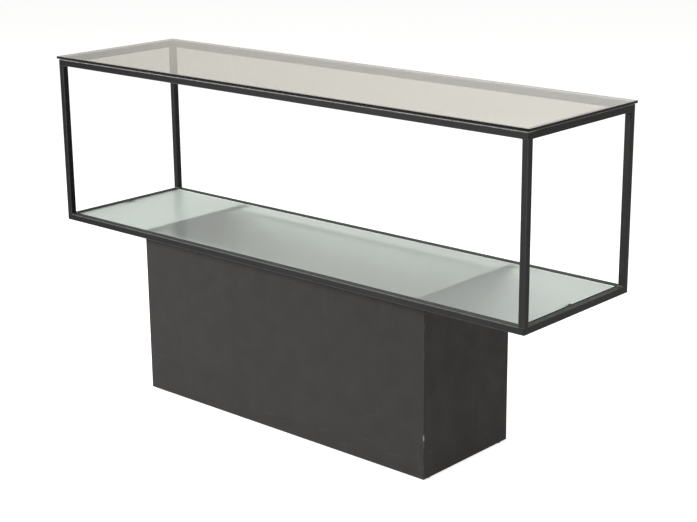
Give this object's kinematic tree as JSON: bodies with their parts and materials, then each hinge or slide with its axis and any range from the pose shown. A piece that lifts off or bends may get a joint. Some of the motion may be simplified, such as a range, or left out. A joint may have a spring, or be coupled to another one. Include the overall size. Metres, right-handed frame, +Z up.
{
  "type": "glazed display console",
  "caption": "Long glazed steel box frame with a smoked glass top and a satin glass shelf, standing on a painted box plinth set in from both ends.",
  "frame": {"origin": "on the floor, under the middle of the glass top", "axes": "+X along the long side towards the right-hand end, -Y towards the front, +Z up"},
  "size_m": [1.508, 0.408, 0.86],
  "materials": {
    "frame_paint": "satin near-black powder coat over welded square tube",
    "smoked_glass": "polished bronze-smoked float glass",
    "satin_glass": "pale green float glass with a lightly satin face",
    "clear_silicone": "clear silicone",
    "black_rubber": "matte black",
    "plinth_paint": "matte charcoal paint on fibreboard",
    "raw_board": "grey-primed fibreboard and batten",
    "screw_steel": "black zinc plated",
    "glide_plastic": "moulded black plastic"
  },
  "bodies": {
    "stand": {"front_bottom_rail": "frame_paint", "back_bottom_rail": "frame_paint", "left_bottom_rail": "frame_paint", "right_bottom_rail": "frame_paint", "front_top_rail": "frame_paint", "back_top_rail": "frame_paint", "left_top_rail": "frame_paint", "right_top_rail": "frame_paint", "front_left_post": "frame_paint", "front_right_post": "frame_paint", "back_left_post": "frame_paint", "back_right_post": "frame_paint", "left_cross_bar": "frame_paint", "right_cross_bar": "frame_paint", "left_end_tab": "frame_paint", "right_end_tab": "frame_paint", "front_left_bumper": "clear_silicone", "front_middle_bumper": "clear_silicone", "front_right_bumper": "clear_silicone", "back_left_bumper": "clear_silicone", "back_middle_bumper": "clear_silicone", "back_right_bumper": "clear_silicone", "left_front_shelf_pad": "black_rubber", "left_back_shelf_pad": "black_rubber", "left_end_shelf_pad": "black_rubber", "right_front_shelf_pad": "black_rubber", "right_back_shelf_pad": "black_rubber", "right_end_shelf_pad": "black_rubber", "plinth_front_panel": "plinth_paint", "plinth_back_panel": "plinth_paint", "plinth_left_panel": "plinth_paint", "plinth_right_panel": "plinth_paint", "plinth_base_panel": "raw_board", "front_left_corner_block": "raw_board", "front_right_corner_block": "raw_board", "back_left_corner_block": "raw_board", "back_right_corner_block": "raw_board", "front_left_glide": "glide_plastic", "front_right_glide": "glide_plastic", "back_left_glide": "glide_plastic", "back_right_glide": "glide_plastic", "left_front_screw": "screw_steel", "left_middle_screw": "screw_steel", "left_back_screw": "screw_steel", "right_front_screw": "screw_steel", "right_middle_screw": "screw_steel", "right_back_screw": "screw_steel"},
    "top_pane": {"top_glass": "smoked_glass"},
    "shelf_pane": {"shelf_glass": "satin_glass"}
  },
  "joints": [
    {"name": "top_glass_lift", "type": "slide", "parent": "stand", "child": "top_pane", "axis": [0, 0, 1], "range_m": [0, 0.08]},
    {"name": "shelf_glass_lift", "type": "slide", "parent": "stand", "child": "shelf_pane", "axis": [0, 0, 1], "range_m": [0, 0.4]}
  ]
}
